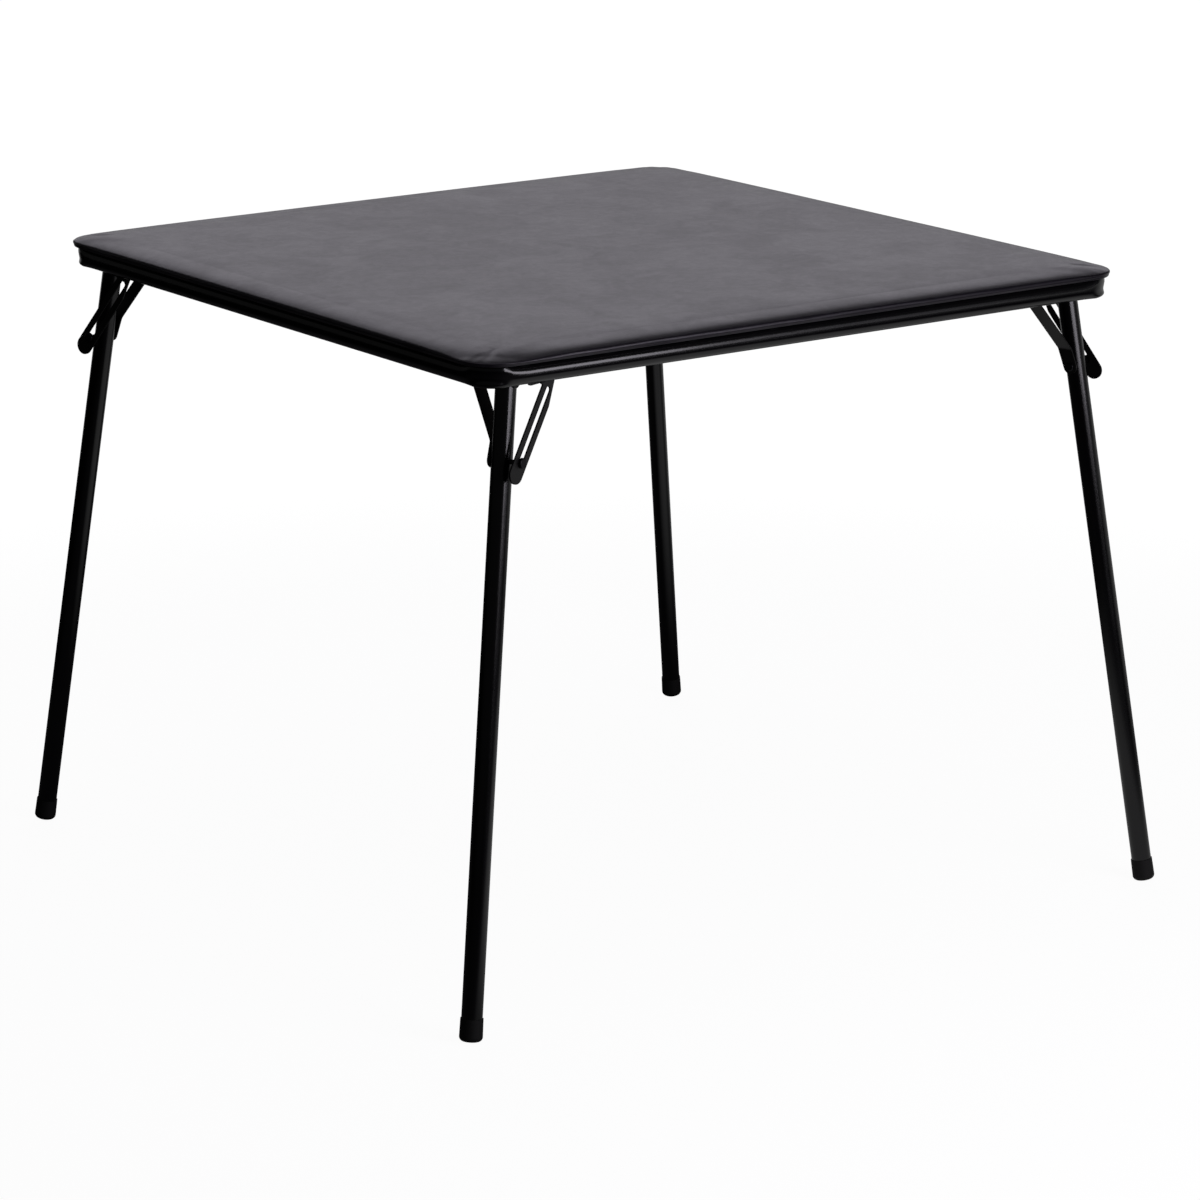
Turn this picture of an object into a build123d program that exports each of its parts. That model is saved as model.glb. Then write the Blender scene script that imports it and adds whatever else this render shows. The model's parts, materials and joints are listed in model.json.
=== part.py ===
from build123d import *
import os
from math import atan2, cos, degrees, radians, sin

os.makedirs("parts", exist_ok=True)

# Driving sizes of the whole table, in millimetres
top_width = 851.0
top_corner_radius = 42.0
table_height = 698.0

# Padded top: vinyl skin over foam over a hard board
skin_thickness = 0.8
foam_thickness = 5.2
board_thickness = 3.5
edge_roll_radius = 7.0
edge_low_radius = 2.4
skin_return_width = 14.0
board_inset = 3.0

# Rolled steel frame under the top
frame_overhang = 6.5
frame_sheet = 1.2
frame_depth = 22.1
frame_reach = 26.0

# Leg tube, hinge and stance
leg_radius = 11.0
leg_wall = 1.2
hinge_drop = 20.0
leg_trail = 17.0
fold_yaw = 18.0
foot_reach_long = 460.7
foot_reach_short = 448.2
knee_reach_long = 370.7
knee_reach_short = 387.1
knee_drop = 31.6
tube_below_hinge = 1.0

# Hinge rod, its sleeve and its clip
rod_radius = 4.0
rod_clearance = 0.08
rod_outer_end = 21.6
rod_inner_end = 62.0
sleeve_wall = 1.6
clip_sheet = 1.6
clip_reach = 16.0
clip_lip_radius = 6.0
clip_side_gap = 0.1
clip_start = 6.0
clip_rivet_drop = 11.0
small_rivet_radius = 2.5
small_head_radius = 4.6
small_head_height = 1.8
head_round = 0.9

# Through stud that the slotted brace slides on
stud_distance = 95.8
stud_radius = 2.6
stud_neck_radius = 2.0
stud_head_radius = 5.4
stud_head_height = 3.0
stud_play = 0.3
tube_hole_radius = 2.7

# Slotted brace
brace_offset = 23.6
brace_sheet = 2.0
brace_width = 20.6
brace_lean = 37.2
brace_tip_drop = 13.2
slot_width = 7.0
slot_length = 82.7
slot_start = 0.5
slot_shift = 0.8
pivot_ahead = 40.0
pivot_rise = 79.0
pivot_radius = 2.4
pivot_clearance = 0.08
pivot_lug_radius = 5.0
brace_head_run = 6.0
brace_fold = 114.0
brace_passing_fold = 97.0
brace_fold_room = 20.5

# Side stay
stay_width = 16.0
stay_sheet = 2.0
stay_tab_below = 8.0
stay_tab_above = 20.0
stay_eye_offset = 50.0
stay_eye_drop = 12.0
stay_eye_rise = 7.2
stay_bend_radius = 6.0
stay_gap = 0.05
stay_depth_share = 3.0

# Hinge bracket on the underside of the top
bracket_sheet = 1.6
bracket_outer_ear = 20.0
bracket_inner_ear = 57.0
bracket_back = 10.0
bracket_front = 19.0
bracket_ear_round = 6.0
bracket_drop_outer = 17.5
bracket_drop_inner = 12.0
bracket_screw_inset = 6.0
bracket_screw_step = 13.0
washer_radius = 5.0
washer_wedge = 0.4

# Screws and staples
screw_radius = 1.7
screw_head_radius = 3.6
screw_head_height = 1.9
screw_bite = 2.6
screws_per_side = 3
screw_spread_share = 0.36
staple_length = 11.0
staple_width = 1.3
staple_height = 0.6
staples_per_side = 8
staple_spread_share = 0.43

# Rubber foot
foot_height = 24.0
foot_floor = 5.0
foot_top_radius = 11.9
foot_bottom_radius = 12.3
foot_round = 5.0

corner_names = ("near", "right", "back", "left")

# Levels of the top and of the hinges
board_underside = table_height - skin_thickness - foam_thickness - board_thickness
board_top = board_underside + board_thickness
frame_half = top_width / 2 - frame_overhang
frame_bottom = board_underside - frame_depth
hinge_height = table_height - hinge_drop
knee_height = table_height - knee_drop


def rounded_square(width, radius):
    return RectangleRounded(width, width, radius)


def slab(width, radius, z_from, z_to):
    shape = extrude(rounded_square(width, radius), amount=z_to - z_from)
    return Pos(0, 0, z_from) * shape


def pin(x, z, radius, y_from, y_to):
    middle = (y_from + y_to) / 2
    return Pos(x, middle, z) * Rot(90, 0, 0) * Cylinder(radius, abs(y_to - y_from))


def headed(x, z, radius, height, y_base, outward):
    solid = Cylinder(radius, height)
    far = solid.edges().sort_by(Axis.Z)[-1]
    solid = fillet(far, head_round)
    turn = Rot(90 if outward < 0 else -90, 0, 0)
    return Pos(x, y_base + outward * height / 2, z) * turn * solid


def plate(sketch, y_from, y_to):
    return extrude(Plane.XZ.offset(-y_to) * sketch, amount=y_to - y_from)


def bar_between(start, end, radius):
    span = Vector(end[0] - start[0], end[1] - start[1])
    middle = ((start[0] + end[0]) / 2, (start[1] + end[1]) / 2)
    angle = degrees(atan2(span.Y, span.X))
    slot = SlotCenterToCenter(span.length, 2 * radius)
    return Pos(*middle) * Rot(0, 0, angle) * slot


# Vinyl skin: a thin shell over the foam that turns in under the board
skin_half_low = board_underside - skin_thickness
skin_body = slab(top_width, top_corner_radius, skin_half_low, table_height)
skin_top_edges = skin_body.edges().filter_by(Plane.XY).group_by(Axis.Z)[-1]
skin_body = fillet(skin_top_edges, edge_roll_radius)
skin_low_edges = skin_body.edges().filter_by(Plane.XY).group_by(Axis.Z)[0]
skin_body = fillet(skin_low_edges, edge_low_radius)
core_width = top_width - 2 * skin_thickness
core_radius = top_corner_radius - skin_thickness
core_body = slab(core_width, core_radius, board_underside, table_height - skin_thickness)
core_top_edges = core_body.edges().filter_by(Plane.XY).group_by(Axis.Z)[-1]
core_body = fillet(core_top_edges, edge_roll_radius - skin_thickness)
core_low_edges = core_body.edges().filter_by(Plane.XY).group_by(Axis.Z)[0]
core_body = fillet(core_low_edges, edge_low_radius - skin_thickness)
open_width = top_width - 2 * skin_return_width
open_radius = top_corner_radius - skin_return_width
skin_opening = slab(open_width, open_radius, skin_half_low, board_underside)
vinyl_cover = skin_body - core_body - skin_opening

# Hard board with pilot holes, and the foam that lies on it and round its edge
board_width = core_width - 2 * board_inset
board_radius = core_radius - board_inset
board_plain = slab(board_width, board_radius, board_underside, board_top)
foam_pad = core_body - board_plain

# Rolled frame section: shares of the reach inward and of the depth upward
low_share = frame_sheet / 2 / frame_depth
high_share = 1 - low_share
wall_share = frame_sheet / 2 / frame_reach
section_shares = (
    (0.365, 0.215),
    (0.345, low_share),
    (wall_share, low_share),
    (wall_share, 0.270),
    (0.100, 0.435),
    (wall_share, 0.665),
    (wall_share, 0.800),
    (0.330, 0.810),
    (0.425, high_share),
    (1.000, high_share),
)
bend_shares = (0.06, 0.14, 0.12, 0.05, 0.12, 0.07, 0.06, 0.06)
frame_corner_radius = top_corner_radius - frame_overhang
section_points = []
for inward, up in section_shares:
    section_points.append((frame_corner_radius - inward * frame_reach, up * frame_depth))
bends = [share * frame_reach for share in bend_shares]
middle_curve = FilletPolyline(*section_points, radius=bends)
section = trace(middle_curve, line_width=frame_sheet)
corner_reach = frame_half - frame_corner_radius
section_upright = Plane.XZ * section
bend_piece = revolve(section_upright, Axis.Z, revolution_arc=90)
rail_piece = extrude(section_upright, amount=2 * corner_reach)
frame_parts = []
for quarter in range(4):
    turn = Rot(0, 0, 90 * quarter) * Pos(corner_reach, corner_reach, frame_bottom)
    frame_parts.append(turn * rail_piece)
    frame_parts.append(turn * bend_piece)
frame_ring = frame_parts[0].fuse(*frame_parts[1:])

# Frame screws go up through the flange into the board
flange_middle = frame_half - frame_reach * (section_shares[-2][0] + 1) / 2
flange_low = board_underside - frame_sheet
screw_places = []
for index in range(screws_per_side):
    along = (index - (screws_per_side - 1) / 2) * screw_spread_share * top_width
    screw_places.append((along, -flange_middle))


def screw(x, y, seat):
    shank_length = board_underside - seat + screw_bite
    shank = Pos(x, y, seat + shank_length / 2) * Cylinder(screw_radius, shank_length)
    head = Cylinder(screw_head_radius, screw_head_height)
    head = fillet(head.edges().sort_by(Axis.Z)[0], head_round)
    head = Pos(x, y, seat - screw_head_height / 2) * head
    return head.fuse(shank)


def hole_tool(x, y, z_from, z_to):
    return Pos(x, y, (z_from + z_to) / 2) * Cylinder(screw_radius, z_to - z_from)


frame_screws = []
frame_holes = []
for quarter in range(4):
    turn = Rot(0, 0, 90 * quarter)
    for x, y in screw_places:
        frame_screws.append(turn * screw(x, y, flange_low))
        frame_holes.append(turn * hole_tool(x, y, flange_low, board_underside + screw_bite))
apron_frame = frame_ring.cut(*frame_holes)

# Staples hold the turned-in skin against the board
staple_line = top_width / 2 - skin_return_width * (1 + section_shares[0][0]) / 2
cover_staples = []
for quarter in range(4):
    turn = Rot(0, 0, 90 * quarter)
    for index in range(staples_per_side):
        step = (2 * index / (staples_per_side - 1) - 1) * staple_spread_share
        wire = Box(staple_length, staple_width, staple_height)
        drop = skin_half_low - staple_height / 2
        cover_staples.append(turn * Pos(step * top_width, -staple_line, drop) * wire)

# Stance of one leg: direction of the tube and of its hinge axis
foot_point = Vector(-foot_reach_long, -foot_reach_short, 0)
knee_point = Vector(-knee_reach_long, -knee_reach_short, knee_height)
leg_up = (knee_point - foot_point).normalized()
fold_way = Vector(cos(radians(fold_yaw)), sin(radians(fold_yaw)), 0)
inward_way = leg_up.cross(fold_way).normalized()
plane_up = fold_way.cross(inward_way)
open_lean = plane_up.get_angle(leg_up)
lean_sin = sin(radians(open_lean))
lean_cos = cos(radians(open_lean))
leg_ahead = fold_way * lean_cos - plane_up * lean_sin
climb = (hinge_height - knee_height - leg_ahead.Z * leg_trail) / leg_up.Z
hinge_point = knee_point + leg_up * climb + leg_ahead * leg_trail
hinge_plane = Plane(origin=hinge_point, x_dir=fold_way, z_dir=plane_up)
level_plane = Plane(origin=hinge_point, x_dir=fold_way, z_dir=(0, 0, 1))
axis_tilt = plane_up.get_angle(Vector(0, 0, 1))
tilt_sin = sin(radians(axis_tilt))
tilt_cos = cos(radians(axis_tilt))


def along_leg(drop):
    x = -lean_cos * leg_trail - lean_sin * drop
    z = lean_sin * leg_trail - lean_cos * drop
    return x, z


leg_turn = Rot(0, open_lean, 0)
flat_radius = foot_bottom_radius - foot_round
side_slope = (1 - leg_up.Z * leg_up.Z) ** 0.5
floor_dip = flat_radius * side_slope + foot_round * (1 - leg_up.Z)
reach_to_floor = (hinge_height - leg_ahead.Z * leg_trail - floor_dip) / leg_up.Z


def on_leg(shape, drop):
    x, z = along_leg(drop)
    return Pos(x, 0, z) * leg_turn * shape


# Leg tube with its stud hole and clip rivet hole
stud_x, stud_z = along_leg(stud_distance)
tube_end = reach_to_floor - foot_floor
tube_length = tube_end - tube_below_hinge
tube_middle = (tube_end + tube_below_hinge) / 2
tube_shell = Cylinder(leg_radius, tube_length) - Cylinder(leg_radius - leg_wall, tube_length)
leg_tube = on_leg(tube_shell, tube_middle)
stud_bore = pin(stud_x, stud_z, tube_hole_radius, -2 * leg_radius, 2 * leg_radius)
clip_x, clip_z = along_leg(clip_rivet_drop)
clip_bore = pin(clip_x, clip_z, small_rivet_radius, -2 * leg_radius, 2 * leg_radius)
leg_tube = leg_tube - stud_bore - clip_bore

# Rubber foot
foot_solid = Cone(foot_bottom_radius, foot_top_radius, foot_height)
foot_solid = fillet(foot_solid.edges().sort_by(Axis.Z)[0], foot_round)
foot_bore = Pos(0, 0, foot_floor) * Cylinder(leg_radius, foot_height)
rubber_foot = on_leg(foot_solid - foot_bore, reach_to_floor - foot_height / 2)

# Hinge rod, and the sleeve between the clip and the stay
cheek_inner = leg_radius + clip_side_gap
cheek_outer = cheek_inner + clip_sheet
hinge_rod = pin(0, 0, rod_radius, -rod_outer_end, rod_inner_end)
stay_eye_face = stay_eye_offset - stay_sheet / 2
sleeve_outer = pin(0, 0, rod_radius + sleeve_wall, cheek_outer, stay_eye_face)
sleeve_inner = pin(0, 0, rod_radius, cheek_outer, stay_eye_face)
rod_sleeve = sleeve_outer - sleeve_inner

# Clip: two cheeks beside the tube joined behind it
cheek_low = along_leg(clip_reach)
cheek_high = along_leg(clip_start)
cheek_sketch = bar_between(cheek_high, cheek_low, clip_lip_radius)
cheek_sketch += bar_between((0, 0), cheek_low, clip_lip_radius)
cheek_sketch += bar_between((0, 0), cheek_high, clip_lip_radius)
cheek_holes = [
    pin(0, 0, rod_radius, -cheek_outer, cheek_outer),
    pin(clip_x, clip_z, small_rivet_radius, -cheek_outer, cheek_outer),
]
back_height = clip_reach - clip_start + clip_lip_radius
back_drop = (clip_reach + clip_start) / 2
back_plate = Box(clip_sheet, 2 * cheek_outer, back_height)
back_shift = leg_radius + clip_side_gap + clip_sheet / 2
cheek_tail = Box(back_shift + clip_sheet / 2, clip_sheet, back_height)
tail_middle = -(back_shift + clip_sheet / 2) / 2
tail_side = cheek_inner + clip_sheet / 2
outer_cheek = plate(cheek_sketch, -cheek_outer, -cheek_inner)
inner_cheek = plate(cheek_sketch, cheek_inner, cheek_outer)
clip_parts = [
    inner_cheek,
    on_leg(Pos(-back_shift, 0, 0) * back_plate, back_drop),
    on_leg(Pos(tail_middle, tail_side, 0) * cheek_tail, back_drop),
    on_leg(Pos(tail_middle, -tail_side, 0) * cheek_tail, back_drop),
]
hinge_clip = outer_cheek.fuse(*clip_parts).cut(*cheek_holes)

# Rivet through the clip and the tube
clip_rivet = pin(clip_x, clip_z, small_rivet_radius, -cheek_outer, cheek_outer)
clip_heads = [
    headed(clip_x, clip_z, small_head_radius, small_head_height, cheek_outer, 1),
    headed(clip_x, clip_z, small_head_radius, small_head_height, -cheek_outer, -1),
]
clip_rivet = clip_rivet.fuse(*clip_heads)

# Stud: shank through the leg, neck through the slot and a round head outside
tab_inner = leg_radius + stay_gap
tab_outer = tab_inner + stay_sheet
plate_inner = brace_offset - brace_sheet / 2
plate_outer = brace_offset + brace_sheet / 2
shank_end = plate_inner - stud_play
head_base = plate_outer + stud_play
stud_shank = pin(stud_x, stud_z, stud_radius, -shank_end, tab_outer)
stud_parts = [
    pin(stud_x, stud_z, stud_neck_radius, -head_base, -shank_end),
    headed(stud_x, stud_z, stud_head_radius, stud_head_height, -head_base, -1),
    headed(stud_x, stud_z, small_head_radius, small_head_height, tab_outer, 1),
]
leg_stud = stud_shank.fuse(*stud_parts)

# Side stay: riveted tab, slanted run and an eye on the hinge rod
side_points = [
    (tab_inner + stay_sheet / 2, stud_z - stay_tab_below - stay_width),
    (tab_inner + stay_sheet / 2, stud_z + stay_tab_above),
    (stay_eye_offset, -stay_eye_drop),
    (stay_eye_offset, stay_eye_rise + stay_width),
]
side_line = FilletPolyline(*side_points, radius=stay_bend_radius)
side_face = trace(side_line, line_width=stay_sheet)
stay_span = stay_depth_share * stay_width
side_prism = extrude(Plane.YZ * side_face, amount=stay_span, both=True)
side_prism = Pos(stud_x / 2, 0, 0) * side_prism
stay_outline = bar_between((stud_x, stud_z), (0, 0), stay_width / 2)
front_prism = plate(stay_outline, 0, stay_eye_offset + stay_width)
stay_holes = [
    pin(0, 0, rod_radius, 0, stay_eye_offset + stay_width),
    pin(stud_x, stud_z, stud_radius, 0, stay_eye_offset),
]
side_stay = (side_prism & front_prism).cut(*stay_holes)

# Slotted brace: strip with a long slot, a lug for its pivot above and a
# shoulder trimmed so that the brace clears the frame flange as it folds
lean_x = sin(radians(brace_lean))
lean_z = cos(radians(brace_lean))


def on_brace(distance, shift):
    x = stud_x + lean_x * distance - lean_z * shift
    z = stud_z + lean_z * distance + lean_x * shift
    return x, z


pivot_x = stud_x + pivot_ahead
pivot_z = stud_z + pivot_rise
strip_low = on_brace(-brace_tip_drop, slot_shift)
slot_low = on_brace(-slot_start, slot_shift)
slot_high = on_brace(slot_length - slot_start, slot_shift)
strip_high = on_brace(slot_length - slot_start + brace_head_run, slot_shift)
strip = bar_between(strip_low, strip_high, brace_width / 2)
lug = bar_between((pivot_x, pivot_z), strip_high, pivot_lug_radius)
slot = bar_between(slot_low, slot_high, slot_width / 2)
pivot_eye = Pos(pivot_x, pivot_z) * Circle(pivot_radius + pivot_clearance)
rooms = []
for fold in (brace_fold, brace_passing_fold):
    room_turn = 90 - fold
    room_x = pivot_x + (brace_fold_room + brace_width / 2) * cos(radians(room_turn))
    room_z = pivot_z + (brace_fold_room + brace_width / 2) * sin(radians(room_turn))
    room = Pos(room_x, room_z) * Rot(0, 0, room_turn) * Rectangle(brace_width, slot_length)
    rooms.append(room)
brace_strip = plate(strip, -plate_outer, -plate_inner)
brace_lug = plate(lug, -plate_outer, -plate_inner)
brace_cuts = [plate(one, -plate_outer, -plate_inner) for one in (slot, pivot_eye, *rooms)]
slotted_brace = brace_strip.fuse(brace_lug).cut(*brace_cuts)

# Hinge bracket: web under the frame flange and two ears with tilted bores
web_top = flange_low - hinge_height
web_low = web_top - bracket_sheet
web_back = -bracket_back
web_front = bracket_front
web_length = web_front - web_back
ear_outer_face = -bracket_outer_ear - bracket_sheet / 2
ear_inner_face = bracket_inner_ear + bracket_sheet / 2
web_width = ear_inner_face - ear_outer_face
web_box = Box(web_length, web_width, bracket_sheet)
web_middle_x = (web_front + web_back) / 2
web_middle_y = (ear_inner_face + ear_outer_face) / 2
web = Pos(web_middle_x, web_middle_y, web_top - bracket_sheet / 2) * web_box


def ear(y_middle, drop):
    height = drop + web_top
    shape = Rectangle(web_length, height)
    low = shape.vertices().group_by(Axis.Y)[0]
    shape = fillet(low, bracket_ear_round)
    shape = Pos(web_middle_x, (web_top - drop) / 2) * shape
    return plate(shape, y_middle - bracket_sheet / 2, y_middle + bracket_sheet / 2)


bracket_plain = web.fuse(
    ear(-bracket_outer_ear, bracket_drop_outer),
    ear(bracket_inner_ear, bracket_drop_inner),
)
tilt = Rot(-axis_tilt, 0, 0)
rod_bore = tilt * pin(0, 0, rod_radius + rod_clearance, -2 * rod_inner_end, 2 * rod_inner_end)
pivot_bore = tilt * pin(pivot_x, pivot_z, pivot_radius, -2 * rod_outer_end, 0)
bracket_holes = []
bracket_screw_places = []
screw_high = board_underside - hinge_height + screw_bite
for y in (bracket_outer_ear, bracket_inner_ear - bracket_screw_step):
    place = (web_front - bracket_screw_inset, y)
    bracket_screw_places.append(place)
    bracket_holes.append(hole_tool(*place, web_low, screw_high))
hinge_bracket = bracket_plain.cut(rod_bore, pivot_bore, *bracket_holes)

# Brace pivot: rivet through the outer ear, washer and brace
ear_face_tilted = (bracket_outer_ear + bracket_sheet / 2 + tilt_sin * pivot_z) / tilt_cos
ear_back_tilted = (bracket_outer_ear - bracket_sheet / 2 + tilt_sin * pivot_z) / tilt_cos
washer_from = ear_face_tilted + washer_wedge
washer_to = plate_inner - stud_play / 2
pivot_washer = pin(pivot_x, pivot_z, washer_radius, -washer_to, -washer_from)
pivot_washer = pivot_washer - pin(pivot_x, pivot_z, pivot_radius, -washer_to, -washer_from)
rivet_out = plate_outer + stud_play / 2
rivet_in = ear_back_tilted - washer_wedge
pivot_rivet = pin(pivot_x, pivot_z, pivot_radius, -rivet_out, -rivet_in)
pivot_rivet = pivot_rivet.fuse(
    headed(pivot_x, pivot_z, small_head_radius, small_head_height, -rivet_out, -1),
    headed(pivot_x, pivot_z, small_head_radius, small_head_height, -rivet_in, 1),
)

# Bracket screws and the packing washers between web and board
bracket_screw_set = []
packing_set = []
for x, y in bracket_screw_places:
    seat = web_low + hinge_height
    one = screw(x, y, seat)
    bracket_screw_set.append(Pos(0, 0, -hinge_height) * one)
    packing_high = board_underside - web_top - hinge_height
    packing = Cylinder(washer_radius, packing_high) - Cylinder(screw_radius, packing_high)
    packing_set.append(Pos(x, y, web_top + packing_high / 2) * packing)

# Place every corner set by quarter turns about the middle of the table
leg_nodes = {
    "leg_tube": leg_tube,
    "rubber_foot": rubber_foot,
    "hinge_rod": hinge_rod,
    "rod_sleeve": rod_sleeve,
    "hinge_clip": hinge_clip,
    "clip_rivet": clip_rivet,
    "leg_stud": leg_stud,
    "side_stay": side_stay,
    "slotted_brace": slotted_brace,
}
results = {}
pivot_rivets = []
pivot_washers = []
bracket_screws = []
packing_washers = []
board_holes = list(frame_holes)
for quarter, corner in enumerate(corner_names):
    turn = Rot(0, 0, 90 * quarter)
    tilted = turn * hinge_plane.location
    level = turn * level_plane.location
    for name, shape in leg_nodes.items():
        results[name + "_" + corner] = tilted * shape
    results["hinge_bracket_" + corner] = level * hinge_bracket
    pivot_rivets.append(tilted * pivot_rivet)
    pivot_washers.append(tilted * pivot_washer)
    for one in bracket_screw_set:
        bracket_screws.append(level * one)
    for one in packing_set:
        packing_washers.append(level * one)
    for one in bracket_holes:
        board_holes.append(level * one)

results["top_board"] = board_plain.cut(*board_holes)
results["foam_pad"] = foam_pad
results["vinyl_cover"] = vinyl_cover
results["apron_frame"] = apron_frame
results["frame_screws"] = Compound(children=frame_screws)
results["cover_staples"] = Compound(children=cover_staples)
results["brace_pivot_rivets"] = Compound(children=pivot_rivets)
results["brace_pivot_washers"] = Compound(children=pivot_washers)
results["bracket_screws"] = Compound(children=bracket_screws)
results["packing_washers"] = Compound(children=packing_washers)

for name, shape in results.items():
    export_step(shape, "parts/" + name + ".step")
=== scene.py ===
import bpy
import json
import numpy as np
from math import cos, pi, radians, sin
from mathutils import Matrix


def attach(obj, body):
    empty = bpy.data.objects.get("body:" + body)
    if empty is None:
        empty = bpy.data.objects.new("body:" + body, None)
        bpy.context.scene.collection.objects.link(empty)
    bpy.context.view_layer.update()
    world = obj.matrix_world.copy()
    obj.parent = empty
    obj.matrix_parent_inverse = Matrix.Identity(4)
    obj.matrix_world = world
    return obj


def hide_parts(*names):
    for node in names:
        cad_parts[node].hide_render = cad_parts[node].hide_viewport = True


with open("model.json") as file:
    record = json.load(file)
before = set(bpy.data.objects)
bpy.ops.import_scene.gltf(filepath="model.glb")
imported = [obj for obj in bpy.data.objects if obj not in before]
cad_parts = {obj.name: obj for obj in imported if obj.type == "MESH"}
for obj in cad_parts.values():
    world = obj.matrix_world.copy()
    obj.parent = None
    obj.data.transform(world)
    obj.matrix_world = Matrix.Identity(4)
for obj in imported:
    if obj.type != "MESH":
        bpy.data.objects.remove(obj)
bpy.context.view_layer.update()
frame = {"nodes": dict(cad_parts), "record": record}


# meshes from whole arrays

def meshPiece(name, vertices, quads, body):
    # a closed skin faces outward where the sum of face normal times face centre is above 0
    corner = vertices[quads]
    side = np.cross(corner[:, 2] - corner[:, 0], corner[:, 3] - corner[:, 1])
    if (side * corner.mean(axis=1)).sum() < 0:
        quads = quads[:, ::-1]
    mesh = bpy.data.meshes.new(name)
    mesh.from_pydata(vertices.tolist(), [], quads.tolist())
    mesh.validate()
    mesh.polygons.foreach_set("use_smooth", np.full(len(mesh.polygons), True))
    mesh.update()
    piece = bpy.data.objects.new(name, mesh)
    bpy.context.scene.collection.objects.link(piece)
    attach(piece, body)
    return piece


def gridQuads(index):
    # one quad for each cell of a grid of point numbers
    quads = np.stack([index[:-1, :-1], index[1:, :-1], index[1:, 1:], index[:-1, 1:]], axis=-1)
    return quads.reshape(-1, 4)


# shader sockets that take part in sums, and materials made of them

class Wire:
    def __init__(self, tree, socket):
        self.tree = tree
        self.socket = socket

    def math(self, operation, first, second):
        node = self.tree.nodes.new("ShaderNodeMath")
        node.operation = operation
        for slot, value in zip(node.inputs, (first, second)):
            if isinstance(value, Wire):
                self.tree.links.new(value.socket, slot)
            else:
                slot.default_value = value
        return Wire(self.tree, node.outputs[0])

    def __add__(self, other):
        return self.math("ADD", self, other)

    def __radd__(self, other):
        return self.math("ADD", other, self)

    def __rsub__(self, other):
        return self.math("SUBTRACT", other, self)

    def __mul__(self, other):
        return self.math("MULTIPLY", self, other)

    def __rmul__(self, other):
        return self.math("MULTIPLY", other, self)

    def between(self, low, high):  # 0 below low, 1 above high, smooth between
        node = self.tree.nodes.new("ShaderNodeMapRange")
        node.interpolation_type = "SMOOTHSTEP"
        self.tree.links.new(self.socket, node.inputs["Value"])
        node.inputs["From Min"].default_value = low
        node.inputs["From Max"].default_value = high
        return Wire(self.tree, node.outputs["Result"])


def parts(tree, vector):
    node = tree.nodes.new("ShaderNodeSeparateXYZ")
    tree.links.new(vector, node.inputs[0])
    return [Wire(tree, one) for one in node.outputs]


class Finish:
    def __init__(self, name, **sockets):
        self.material = bpy.data.materials.new(name)
        self.material.use_nodes = True
        self.tree = self.material.node_tree
        self.tree.nodes.clear()
        self.shader = self.tree.nodes.new("ShaderNodeBsdfPrincipled")
        output = self.tree.nodes.new("ShaderNodeOutputMaterial")
        self.tree.links.new(self.shader.outputs[0], output.inputs[0])
        self.place = self.node("ShaderNodeTexCoord", "Object")
        for label, value in sockets.items():
            self.put(label, value)

    def put(self, label, value):
        slot = self.shader.inputs[label.replace("_", " ")]
        if isinstance(value, Wire):
            self.tree.links.new(value.socket, slot)
        else:
            slot.default_value = value

    def node(self, kind, output, settings=None, **inputs):
        node = self.tree.nodes.new(kind)
        for label, value in (settings or {}).items():
            setattr(node, label, value)
        for label, value in inputs.items():
            slot = node.inputs[label.replace("_", " ")]
            if isinstance(value, Wire):
                self.tree.links.new(value.socket, slot)
            else:
                slot.default_value = value
        return Wire(self.tree, node.outputs[output])

    def noise(self, scale, detail, roughness=0.5, distortion=0.0, place=None):
        return self.node("ShaderNodeTexNoise", "Fac", Vector=place or self.place, Scale=scale,
                         Detail=detail, Roughness=roughness, Distortion=distortion)

    def mapped(self, **inputs):
        return self.node("ShaderNodeMapping", "Vector", Vector=self.place, **inputs)

    def distance(self, place):
        return self.node("ShaderNodeVectorMath", "Value", {"operation": "LENGTH"}, Vector=place)

    def blend(self, share, first, second):
        node = self.tree.nodes.new("ShaderNodeMix")
        node.data_type = "RGBA"
        factor, firstColor, secondColor = (node.inputs[slot] for slot in (0, 6, 7))
        self.tree.links.new(share.socket, factor)
        firstColor.default_value = (*first, 1.0)
        secondColor.default_value = (*second, 1.0)
        return Wire(self.tree, node.outputs[2])

    def bump(self, height, distance, strength):
        self.put("Normal", self.node("ShaderNodeBump", "Normal", Height=height,
                                     Distance=distance, Strength=strength))


# padded vinyl top

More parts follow.
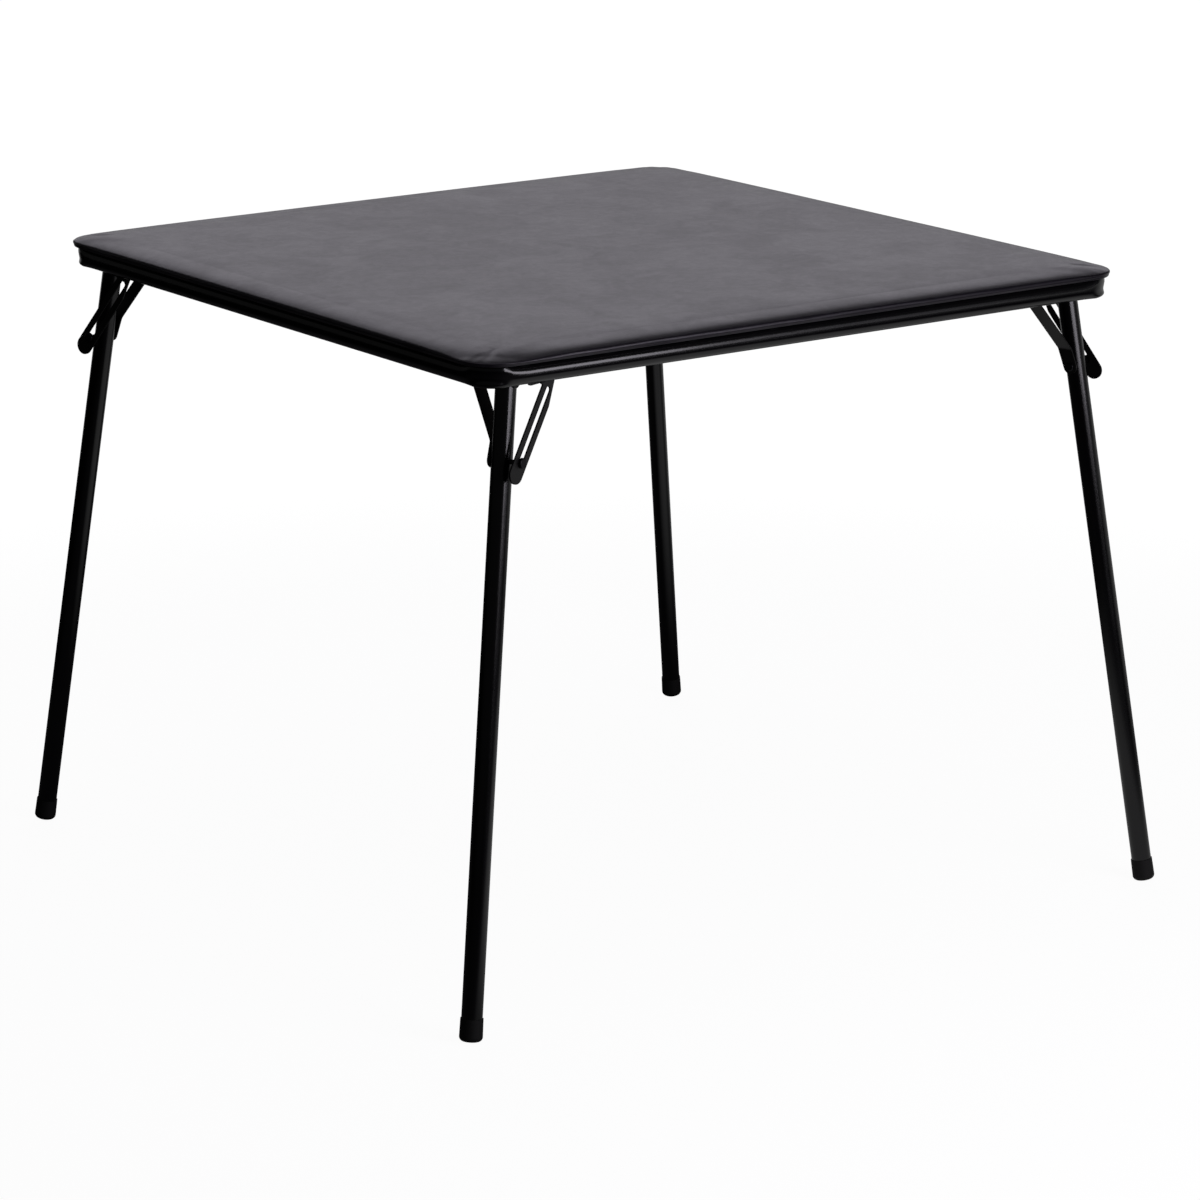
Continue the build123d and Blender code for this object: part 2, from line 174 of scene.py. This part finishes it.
padLook = {
    "half": 0.4255, "radius": 0.042, "top": 0.69936, "cells": 90, "steps": 7,
    # profile points: inboard from the widest line, height
    "profile": [(0.0330, 0.69932), (0.0290, 0.69928), (0.0250, 0.69920), (0.0210, 0.69906),
                (0.0170, 0.69882), (0.0135, 0.69848), (0.0104, 0.69803), (0.0078, 0.69752),
                (0.0060, 0.69705), (0.0045, 0.69660), (0.0033, 0.69622), (0.0024, 0.69590),
                (0.0016, 0.69556), (0.0010, 0.69518), (0.00062, 0.69476), (0.00040, 0.69428),
                (0.00026, 0.69370), (0.00013, 0.69306), (0.00004, 0.69238), (0.0, 0.69165),
                (0.0001, 0.69085), (0.0004, 0.69005), (0.0010, 0.68925), (0.0018, 0.68858),
                (0.0030, 0.68798), (0.0046, 0.68762), (0.0070, 0.68742), (0.0130, 0.68735),
                (0.0138, 0.68850)],
    "roomForRoll": 0.002,  # between the flat grid and the first ring
    # the side waves and its lower part is lifted in the corners
    "wave": 0.0004, "waveRise": 0.8, "waveTop": 0.6945, "waveFade": 0.004, "waveDepth": 0.0011,
    "ripples": [(11, 0.4, 0.5), (23, 2.1, 0.35), (37, 4.0, 0.25), (58, 1.2, 0.2)],
    "lift": 0.0016, "liftRate": 2, "cornerPower": 24,
    # the corners droop, most at the near one
    "droop": 0.0012, "worn": 2.6, "tip": 0.16, "tipPower": 10,
    "droopFrom": 0.689, "droopFade": 0.009,
    # cloth simulation
    "cap": 0.0009, "frames": 20, "pressure": 4.0, "held": 0.6889,
}


def padCage(look):
    # inner square grid, its corners drawn onto arcs, then rings that follow the profile
    cells, half, radius = look["cells"], look["half"], look["radius"]
    roll = look["profile"][0][0] + look["roomForRoll"]
    inner = half - roll
    arc = radius - roll
    middle = np.linspace(-(inner - arc), inner - arc, cells + 1)
    ends = np.linspace(inner - arc, inner, look["steps"] + 1)[1:]
    line = np.concatenate([-ends[::-1], middle, ends])
    x, y = np.meshgrid(line, line, indexing="ij")
    over = np.stack([np.abs(x) - (inner - arc), np.abs(y) - (inner - arc)], axis=-1)
    both = np.maximum(over, 0)
    reach = both.max(axis=-1)
    length = np.hypot(both[..., 0], both[..., 1])
    pull = np.where(length > 0, reach / np.maximum(length, 1e-9), 1.0)
    for axis, values in enumerate((x, y)):
        bent = (inner - arc) + both[..., axis] * pull
        values[...] = np.where(over[..., axis] > 0, np.sign(values) * bent, values)
    z = np.full_like(x, look["top"])
    index = np.arange(x.size).reshape(x.shape)
    flat = np.stack([x, y, z], axis=-1).reshape(-1, 3)
    rim = np.concatenate([index[:-1, 0], index[-1, :-1], index[:0:-1, -1], index[0, :0:-1]])
    edge = flat[rim, :2]
    ahead = np.roll(edge, -1, axis=0) - np.roll(edge, 1, axis=0)
    outward = np.stack([ahead[:, 1], -ahead[:, 0]], axis=-1)
    outward /= np.linalg.norm(outward, axis=1, keepdims=True)
    bend = np.clip(np.abs(edge).min(axis=1) / (half - radius), 0, 1)
    bend = bend ** look["cornerPower"]  # 1 in the corners
    run = np.cumsum(np.linalg.norm(np.roll(edge, -1, axis=0) - edge, axis=1))
    turn = run / run[-1] * 2 * pi
    ripple = sum(np.sin(turn * count + start) * size for count, start, size in look["ripples"])
    rings = []
    for inboard, height in look["profile"]:
        low = min(max((look["waveTop"] - height) / look["waveFade"], 0.0), 1.0)
        low = low if inboard < look["waveDepth"] else 0.0
        wave = look["wave"] * low * ripple
        out = roll - inboard + wave
        place = edge + out[:, None] * outward
        lift = look["lift"] * min(low * look["liftRate"], 1.0) * bend
        level = height + look["waveRise"] * look["wave"] * low * ripple + lift
        rings.append(np.column_stack([place, level]))
    vertices = np.concatenate([flat] + rings)
    tip = (np.abs(vertices[:, 0] * vertices[:, 1]) / look["tip"]) ** look["tipPower"]
    near = (vertices[:, :2] < 0).all(axis=1)
    dip = look["droop"] * np.where(near, look["worn"], 1.0)
    fade = np.clip((vertices[:, 2] - look["droopFrom"]) / look["droopFade"], 0, 1)
    vertices[:, 2] -= dip * np.minimum(tip, 1.0) * fade
    count = len(rim)
    loops = [rim] + [x.size + step * count + np.arange(count) for step in range(len(rings))]
    loops = np.array([np.append(loop, loop[0]) for loop in loops])
    return vertices, np.concatenate([gridQuads(index), gridQuads(loops)])


def swell(piece, look):
    # cloth held under the edge and blown up a little, with its travel capped
    start = np.array([point.co for point in piece.data.vertices])
    group = piece.vertex_groups.new(name="held")
    group.add(np.nonzero(start[:, 2] < look["held"])[0].tolist(), 1.0, "REPLACE")
    cloth = piece.modifiers.new("swell", "CLOTH")
    cloth.settings.vertex_group_mass = "held"
    cloth.settings.use_pressure = True
    cloth.settings.uniform_pressure_force = look["pressure"]
    cloth.settings.effector_weights.gravity = 0.0
    cloth.collision_settings.use_collision = False
    cloth.point_cache.frame_end = look["frames"]
    for step in range(1, look["frames"] + 1):
        bpy.context.scene.frame_set(step)
    solved = piece.evaluated_get(bpy.context.evaluated_depsgraph_get())
    moved = np.array([point.co for point in solved.data.vertices]) - start
    piece.modifiers.remove(cloth)
    bpy.context.scene.frame_set(1)
    travel = np.linalg.norm(moved, axis=1, keepdims=True)
    print("pad swell: free travel up to", round(float(travel.max()) * 1000, 2), "mm")
    share = look["cap"] * np.tanh(travel / look["cap"]) / np.maximum(travel, 1e-9)
    return start + moved * share


vertices, quads = padCage(padLook)
padTop = meshPiece("paddedTop", vertices, quads, "table_top")
padTop.data.vertices.foreach_set("co", swell(padTop, padLook).ravel())
padTop.data.update()
finer = padTop.modifiers.new("finer", "SUBSURF")
finer.levels = finer.render_levels = 1
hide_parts("vinyl_cover", "foam_pad")
print("padded top:", len(vertices), "points")

vinylLook = {
    "specular": 0.5, "tint": (0.97, 0.93, 1.0, 1.0),
    "clouds": {"scale": 11.0, "detail": 6.0, "roughness": 0.62, "distortion": 0.8},
    "cloudEdge": (0.32, 0.68), "cloudShare": 0.55,
    "veins": {"scale": 52.0, "detail": 6.0, "roughness": 0.70, "distortion": 1.6},
    "veinEdge": (0.36, 0.66), "veinShare": 0.45,
    "deep": (0.0110, 0.0088, 0.0145), "pale": (0.0240, 0.0208, 0.0295),
    "rough": 0.35, "smoother": 0.07,
    # grain: heights of its layers
    "pebbleScale": 900.0, "pebbleSoft": 0.6, "pebbleHeight": 0.6, "veinHeight": 0.8,
    "fine": {"scale": 1600.0, "detail": 2.0}, "fineHeight": 0.25,
    "relief": 0.00012, "reliefShare": 0.5,
}
vinyl = Finish("darkVinyl", Specular_IOR_Level=vinylLook["specular"],
               Specular_Tint=vinylLook["tint"])
clouds = vinyl.noise(**vinylLook["clouds"])
veins = vinyl.noise(**vinylLook["veins"])
tone = (clouds.between(*vinylLook["cloudEdge"]) * vinylLook["cloudShare"]
        + veins.between(*vinylLook["veinEdge"]) * vinylLook["veinShare"])
vinyl.put("Base Color", vinyl.blend(tone, vinylLook["deep"], vinylLook["pale"]))
vinyl.put("Roughness", vinylLook["rough"] - vinylLook["smoother"] * tone)
pebbles = vinyl.node("ShaderNodeTexVoronoi", "Distance", {"feature": "SMOOTH_F1"},
                     Vector=vinyl.place, Scale=vinylLook["pebbleScale"],
                     Smoothness=vinylLook["pebbleSoft"])
grain = pebbles * vinylLook["pebbleHeight"] + veins * vinylLook["veinHeight"]
grain = grain + vinyl.noise(**vinylLook["fine"]) * vinylLook["fineHeight"]
vinyl.bump(grain, vinylLook["relief"], vinylLook["reliefShare"])
padTop.data.materials.append(vinyl.material)


# rolled steel frame

rimLook = {
    "half": 0.419, "radius": 0.0355, "low": 0.6650, "high": 0.6858, "flange": 0.6885,
    "reach": 0.026, "sheet": 0.0012, "side": 90, "corner": 28,
    # the straight side bows out under its lip and rolls in at the bottom
    "bow": 0.0040, "slant": 0.0002, "roll": 0.0102, "rollTurn": 0.52, "levels": 15,
    # the corner is pinched: shares of the height, counted from the lip down
    "easeRun": 0.016, "easeBend": 0.4, "crestShare": 0.22, "crestRadius": 0.030,
    "fall": 0.0021, "fallRun": 0.55, "fallPower": 1.3, "waistShare": 0.55, "waistRun": 0.25,
    "waistPower": 1.6, "turnShare": 0.78, "turnRun": 0.22, "turn": 0.0052, "lip": 0.0012,
    # flange and shoulder above the side: inboard, drop below the flange or rise above the side
    "flangeDrop": [(0.0115, 0.0002), (0.0100, 0.0008)],
    "shoulderRise": [(0.0088, 0.0006), (0.0070, 0.0002), (0.0055, 0.0001)],
    "tail": [(0.0110, 0.0009), (0.0114, 0.0030), (0.0114, 0.0048)],
}


def outlinePath(look):
    # along one rounded square: points, outward ways, and two shares, of pinch and of waist
    half, radius = look["half"], look["radius"]
    straight = half - radius
    places, ways, bends = [], [], []
    for quarter in range(4):
        turn = quarter * pi / 2
        axis = np.array([cos(turn), sin(turn)])
        across = np.array([-sin(turn), cos(turn)])
        along = np.linspace(-straight, straight, look["side"], endpoint=False)
        places.append(half * axis + along[:, None] * across)
        ways.append(np.repeat(axis[None], len(along), axis=0))
        close = np.clip((np.abs(along) - straight + look["easeRun"]) / look["easeRun"], 0, 1)
        bends.append(np.column_stack([look["easeBend"] * close ** 2, np.zeros(len(close))]))
        swing = np.linspace(0, pi / 2, look["corner"], endpoint=False)
        way = np.cos(swing)[:, None] * axis + np.sin(swing)[:, None] * across
        places.append(straight * (axis + across) + radius * way)
        ways.append(way)
        both = np.sin(2 * swing)
        pinch = look["easeBend"] + (1 - look["easeBend"]) * np.minimum(1.0, both * 2)
        bends.append(np.column_stack([pinch, both ** look["waistPower"]]))
    return np.concatenate(places), np.concatenate(ways), np.concatenate(bends)


def rimSection(look, bend, waist):
    # outer skin from the flange down to the inner return, then back up the inside
    low, high, roll = look["low"], look["high"], look["roll"]
    lean = np.linspace(0, 1, look["levels"])
    level = high - (high - low - roll) * lean
    convex = look["bow"] * (1 - lean) ** 3 + look["slant"] * (1 - lean)
    sweep = lean[1:] * look["rollTurn"] * pi
    under = np.stack([roll * (1 - np.cos(sweep)), low + roll * (1 - np.sin(sweep))], axis=-1)
    plain = np.concatenate([np.stack([convex, level], axis=-1), under])
    share = (high - plain[:, 1]) / (high - low)
    crest = np.maximum(look["crestShare"] - share, 0) * (high - low)
    fall = np.clip((share - look["crestShare"]) / look["fallRun"], 0, 1)
    back = 1 - waist * np.clip((share - look["waistShare"]) / look["waistRun"], 0, 1)
    turnIn = np.maximum(share - look["turnShare"], 0) / look["turnRun"]
    pinched = crest ** 2 / look["crestRadius"]
    pinched += look["fall"] * fall ** look["fallPower"] * back
    pinched += look["turn"] * (1 - np.sqrt(np.maximum(1 - turnIn ** 2, 0)))
    outer = plain.copy()
    outer[:, 0] = plain[:, 0] * (1 - bend) + pinched * bend
    outer[:, 1] += look["lip"] * bend * (1 - share) ** 2  # the lip stands higher in the corners
    flangeEnd = (look["reach"], look["flangeDrop"][0][1])
    top = [(inboard, look["flange"] - drop) for inboard, drop in [flangeEnd] + look["flangeDrop"]]
    top += [(inboard, high + rise) for inboard, rise in look["shoulderRise"]]
    tail = np.array([(inboard, low + rise) for inboard, rise in look["tail"]])
    tail[:, 0] += outer[-1, 0] - plain[-1, 0]
    skin = np.concatenate([top, outer, tail])
    ahead = np.gradient(skin, axis=0)
    inward = np.stack([-ahead[:, 1], ahead[:, 0]], axis=-1)
    inward /= np.linalg.norm(inward, axis=1, keepdims=True)
    return np.concatenate([skin, (skin + inward * look["sheet"])[::-1]])


places, ways, bends = outlinePath(rimLook)
sections = np.array([rimSection(rimLook, *pair) for pair in bends])
around = places[:, None] - sections[..., :1] * ways[:, None]
vertices = np.concatenate([around, sections[..., 1:]], axis=-1)
index = np.arange(vertices.shape[0] * vertices.shape[1]).reshape(vertices.shape[:2])
index = np.concatenate([index, index[:1]])
index = np.concatenate([index, index[:, :1]], axis=1)
apronRim = meshPiece("apronRim", vertices.reshape(-1, 3), gridQuads(index), "table_top")
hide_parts("apron_frame")
print("apron rim:", len(apronRim.data.vertices), "points")


# enamel and fittings on the CAD pieces

enamelLook = {
    "specular": 0.5, "coatRough": 0.08, "patches": {"scale": 14.0, "detail": 4.0},
    "darkShare": 0.75, "rougher": 0.08, "peel": {"scale": 420.0, "detail": 2.0},
    "relief": 0.00005, "reliefShare": 0.35,
}


def enamel(name, color, rough, coat, look=enamelLook):
    finish = Finish(name, Specular_IOR_Level=look["specular"], Coat_Weight=coat,
                    Coat_Roughness=look["coatRough"])
    patches = finish.noise(**look["patches"])
    peel = finish.noise(**look["peel"])
    dark = tuple(value * look["darkShare"] for value in color)
    finish.put("Base Color", finish.blend(patches, dark, color))
    finish.put("Roughness", rough + look["rougher"] * patches)
    finish.bump(peel, look["relief"], look["reliefShare"])
    return finish.material


steelLook = {
    "wear": {"scale": 60.0, "detail": 5.0, "roughness": 0.6}, "darkShare": 0.6, "rougher": 0.14,
    "scratches": {"scale": 700.0, "detail": 3.0}, "relief": 0.00004, "reliefShare": 0.3,
}


def steel(name, color, rough, look=steelLook):
    finish = Finish(name, Metallic=1.0)
    wear = finish.noise(**look["wear"])
    dark = tuple(value * look["darkShare"] for value in color)
    finish.put("Base Color", finish.blend(wear, dark, color))
    finish.put("Roughness", rough + look["rougher"] * wear)
    finish.bump(finish.noise(**look["scratches"]), look["relief"], look["reliefShare"])
    return finish.material


boardLook = {
    "stretch": (900.0, 160.0, 400.0), "fibres": {"scale": 1.0, "detail": 5.0}, "fibreShare": 0.6,
    "patches": {"scale": 25.0, "detail": 4.0}, "patchShare": 0.4,
    "deep": (0.085, 0.045, 0.022), "pale": (0.19, 0.11, 0.06),
    "rough": 0.62, "rougher": 0.15, "relief": 0.00008, "reliefShare": 0.4,
}


def board(name, look=boardLook):
    finish = Finish(name)
    fibres = finish.noise(place=finish.mapped(Scale=look["stretch"]), **look["fibres"])
    patches = finish.noise(**look["patches"])
    share = fibres * look["fibreShare"] + patches * look["patchShare"]
    finish.put("Base Color", finish.blend(share, look["deep"], look["pale"]))
    finish.put("Roughness", look["rough"] + look["rougher"] * fibres)
    finish.bump(fibres, look["relief"], look["reliefShare"])
    return finish.material


rubberLook = {
    "specular": 0.35, "dust": {"scale": 90.0, "detail": 4.0},
    "deep": (0.006, 0.006, 0.006), "pale": (0.013, 0.012, 0.012), "rough": 0.62, "rougher": 0.15,
    "pores": {"scale": 900.0, "detail": 2.0}, "relief": 0.00008, "reliefShare": 0.4,
}


def rubber(name, look=rubberLook):
    finish = Finish(name, Specular_IOR_Level=look["specular"])
    dust = finish.noise(**look["dust"])
    finish.put("Base Color", finish.blend(dust, look["deep"], look["pale"]))
    finish.put("Roughness", look["rough"] + look["rougher"] * dust)
    finish.bump(finish.noise(**look["pores"]), look["relief"], look["reliefShare"])
    return finish.material


looks = {
    "leg_enamel": enamel("legEnamel", (0.0035, 0.0032, 0.0040), 0.16, 0.2),
    "frame_enamel": enamel("frameEnamel", (0.0040, 0.0037, 0.0050), 0.14, 0.3),
    "fitting_steel": enamel("fittingEnamel", (0.0052, 0.0046, 0.0049), 0.38, 0.1),
    "blackened_steel": steel("blackenedSteel", (0.045, 0.043, 0.047), 0.34),
    "staple_steel": steel("stapleWire", (0.42, 0.42, 0.44), 0.3),
    "hardboard": board("hardboard"),
    "foot_rubber": rubber("footRubber"),
}
slots = {entry["node"]: entry["material_slot"] for entry in frame["record"]["subparts"]}
for name, piece in frame["nodes"].items():
    look = looks.get(slots[name])
    if look:
        if not piece.material_slots:
            piece.data.materials.append(look)
        for slot in piece.material_slots:
            slot.material = look
apronRim.data.materials.append(looks["frame_enamel"])
print("materials:", len(bpy.data.materials))


# floor, light and camera

floorLook = {
    "half": 14, "rough": 0.9, "edge": (1.1, 2.3),
    # painted pool of light and painted shade: pale floor colour near the table, dark beyond the
    # edge
    "pale": (0.16, 0.16, 0.16), "dark": (0.02, 0.02, 0.02),
    # white to the camera
    "white": 0.955, "edgeWhite": 0.065,
    # painted reflection: the floor glows to mirror rays alone, brighter in front and more at the
    # right, and the frame and the legs mirror that glow
    "patchPlace": (0.42, -0.66, 0.0), "patchEdge": (0.45, 1.05), "patchGlow": 0.31,
    "rightWay": (0.9, 0.5), "rightEdge": (0.7, 2.0), "rightGlow": 0.35,
}
scene = bpy.context.scene
ground = bpy.data.meshes.new("floor")
half = floorLook["half"]
ground.from_pydata([(-half, -half, 0), (half, -half, 0), (half, half, 0), (-half, half, 0)],
                   [], [(0, 1, 2, 3)])
floor = bpy.data.objects.new("floor", ground)
scene.collection.objects.link(floor)
paper = Finish("paleFloor", Roughness=floorLook["rough"], Specular_IOR_Level=0.0)
across, along, _ = parts(paper.tree, paper.place.socket)
# painted light and shade: the floor colour is pale round the table, a painted pool of light, and
# dark beyond it, painted shade for the unlit studio
edge = paper.distance(paper.place).between(*floorLook["edge"])
paper.put("Base Color", paper.blend(edge, floorLook["pale"], floorLook["dark"]))
floorSeen = paper.node("ShaderNodeLightPath", "Is Camera Ray")
floorShiny = paper.node("ShaderNodeLightPath", "Is Glossy Ray")
patchShift = tuple(-value for value in floorLook["patchPlace"])
patch = paper.distance(paper.mapped(Location=patchShift)).between(*floorLook["patchEdge"])
rightWay = across * floorLook["rightWay"][0] + along * floorLook["rightWay"][1]
rightSide = rightWay.between(*floorLook["rightEdge"])
mirrored = floorLook["patchGlow"] - floorLook["patchGlow"] * patch
mirrored = mirrored + floorLook["rightGlow"] * rightSide
shown = floorLook["white"] + floorLook["edgeWhite"] * edge
paper.put("Emission Color", (1.0, 1.0, 1.0, 1.0))
# painted reflection: the glow is seen by mirror rays only and is not a lamp
paper.put("Emission Strength", floorSeen * shown + floorShiny * mirrored)
ground.materials.append(paper.material)

skyLook = {
    "dim": 0.03, "glow": 0.25, "way": (0.8, 0.6), "wayEdge": (0.2, 0.8), "topEdge": (0.08, 0.25),
}
world = bpy.data.worlds.new("studio")
scene.world = world
world.use_nodes = True
tree = world.node_tree
tree.nodes.clear()
air = tree.nodes.new("ShaderNodeBackground")
air.inputs["Color"].default_value = (1, 1, 1, 1)
skySeen = Wire(tree, tree.nodes.new("ShaderNodeLightPath").outputs["Is Camera Ray"])
east, north, up = parts(tree, tree.nodes.new("ShaderNodeTexCoord").outputs["Generated"])
# white to the camera, dim for the light it gives, brighter low down at the back and right
skyWay = (east * skyLook["way"][0] + north * skyLook["way"][1]).between(*skyLook["wayEdge"])
horizon = skyWay * (1.0 - up.between(*skyLook["topEdge"]))
tree.links.new((skySeen + skyLook["dim"] + skyLook["glow"] * horizon).socket,
               air.inputs["Strength"])
tree.links.new(air.outputs[0], tree.nodes.new("ShaderNodeOutputWorld").inputs[0])

lampColor = (1.0, 0.962, 1.06)
lamps = [
    {"name": "overhead", "place": (-0.1, 0.1, 2.8), "aim": (0, 0, 0.6),
     "size": (2.0, 1.8), "glow": 0.35},
    {"name": "behind", "place": (2.5, 3.5, 2.22), "aim": (0, 0, 1.1),
     "size": (4.2, 2.1), "glow": 0.66},
    {"name": "frontStrip", "place": (0.45, -2.4, 0.83), "aim": (-0.1, -0.4, 0.7),
     "size": (1.42, 0.64), "glow": 4.0},
    {"name": "frontFade", "place": (1.46, -2.2, 0.80), "aim": (0.1, -0.4, 0.7),
     "size": (0.5, 0.66), "glow": 0.3},
]
for lamp in lamps:
    light = bpy.data.lights.new(lamp["name"], "AREA")
    light.shape = "RECTANGLE"
    light.size, light.size_y = lamp["size"]
    light.color = lampColor
    light.energy = lamp["glow"] * pi * light.size * light.size_y
    holder = bpy.data.objects.new(lamp["name"], light)
    scene.collection.objects.link(holder)
    away = np.array(lamp["place"]) - np.array(lamp["aim"])
    tilt = np.arctan2(np.hypot(away[0], away[1]), away[2])
    holder.location = lamp["place"]
    holder.rotation_euler = (tilt, 0, np.arctan2(away[0], -away[1]))

view = {
    "place": (-2.8947, -4.0513, 1.6326), "down": 15.027, "yaw": 35.629,
    "lens": 136.346, "shift": 0.009, "sensor": 36.0, "farEnd": 60.0,
}
camera = bpy.data.cameras.new("photoView")
camera.sensor_width = view["sensor"]
camera.lens = view["lens"]
camera.shift_x = view["shift"]
camera.clip_end = view["farEnd"]
stand = bpy.data.objects.new("photoView", camera)
stand.location = view["place"]
stand.rotation_euler = (radians(90 - view["down"]), 0, -radians(view["yaw"]))
scene.collection.objects.link(stand)
scene.camera = stand
scene.view_settings.view_transform = "Standard"
print("stage ready")
